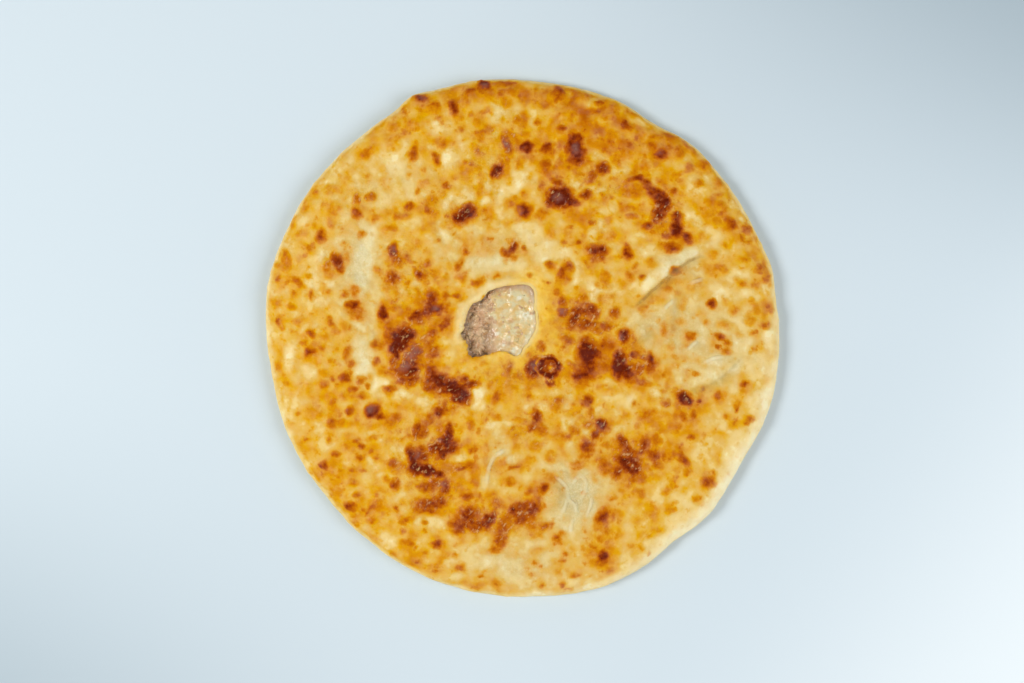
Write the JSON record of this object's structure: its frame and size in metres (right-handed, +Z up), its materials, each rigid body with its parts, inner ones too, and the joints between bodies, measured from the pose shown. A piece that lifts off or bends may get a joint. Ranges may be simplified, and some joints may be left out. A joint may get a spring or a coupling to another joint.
{
  "type": "chicken and cheese pie",
  "caption": "Round flat pie of browned dough closed round a chicken and cheese filling, with a folded top sheet and a torn steam vent near its middle that shows the filling.",
  "frame": {"origin": "middle of the pie's box at its flat underside, on what it stands on", "axes": "+Z up through the pie's thickness; +X to the right and +Y to the top of the picture, which looks straight down on the pie"},
  "size_m": [0.3152, 0.3176, 0.019],
  "materials": {
    "baked_dough": "baked dough, cream to golden with brown scorched blisters, brushed with butter",
    "chicken_and_cheese": "moist chopped chicken with crumbled white cheese"
  },
  "bodies": {
    "root": {"crust": "baked_dough", "filling": "chicken_and_cheese"}
  },
  "joints": []
}
